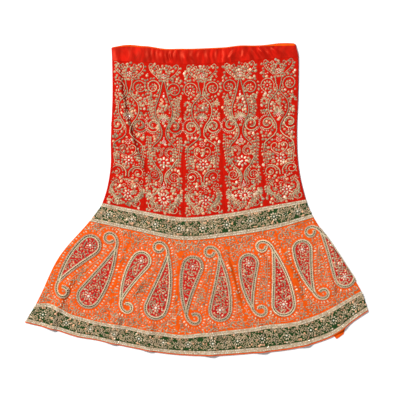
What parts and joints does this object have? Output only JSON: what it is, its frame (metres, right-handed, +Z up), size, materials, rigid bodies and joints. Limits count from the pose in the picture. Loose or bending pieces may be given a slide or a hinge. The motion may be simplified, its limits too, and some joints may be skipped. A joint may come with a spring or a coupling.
{
  "type": "lehenga skirt",
  "caption": "Flared embroidered skirt laid flat, with a plain waistband, a gored hip tier, a gored flare with paisley patches, lace-edged borders and a lined hem.",
  "frame": {"origin": "centre of the skirt's box at the surface that it lies on", "axes": "+Z up from the surface, +Y towards the waistband, +X to the right as seen from above"},
  "size_m": [1.0971, 1.0001, 0.0156],
  "materials": {
    "red_satin": "plain satin with a soft sheen",
    "red_silk": "silk covered with dull gold embroidery",
    "orange_silk": "silk with fine beige line stitching",
    "green_silk": "silk covered with pink and gold embroidery",
    "lace": "champagne gold metallic lace",
    "patch_red": "deep red silk with gold sequins"
  },
  "bodies": {
    "root": {"flare_panel_01": "orange_silk", "flare_panel_02": "orange_silk", "flare_panel_03": "orange_silk", "flare_panel_04": "orange_silk", "flare_panel_05": "orange_silk", "flare_panel_06": "orange_silk", "flare_panel_07": "orange_silk", "flare_panel_08": "orange_silk", "flare_panel_09": "orange_silk", "flare_panel_10": "orange_silk", "hem_band_back": "green_silk", "hem_band_front": "green_silk", "hem_edge_back": "orange_silk", "hem_edge_front": "orange_silk", "hem_lace_lower_back": "lace", "hem_lace_lower_front": "lace", "hem_lace_upper_back": "lace", "hem_lace_upper_front": "lace", "hip_band_back": "green_silk", "hip_band_front": "green_silk", "hip_lace_lower_back": "lace", "hip_lace_lower_front": "lace", "hip_lace_upper_back": "lace", "hip_lace_upper_front": "lace", "hip_panel_01": "red_silk", "hip_panel_02": "red_silk", "hip_panel_03": "red_silk", "hip_panel_04": "red_silk", "hip_panel_05": "red_silk", "hip_panel_06": "red_silk", "hip_panel_07": "red_silk", "hip_panel_08": "red_silk", "hip_panel_09": "red_silk", "hip_panel_10": "red_silk", "paisley_1a": "patch_red", "paisley_1b": "patch_red", "paisley_2a": "patch_red", "paisley_2b": "patch_red", "paisley_3a": "patch_red", "paisley_3b": "patch_red", "paisley_4a": "patch_red", "paisley_4b": "patch_red", "paisley_5a": "patch_red", "paisley_5b": "patch_red", "waist_facing": "orange_silk", "waistband_back": "red_satin", "waistband_front": "red_satin"}
  },
  "joints": []
}
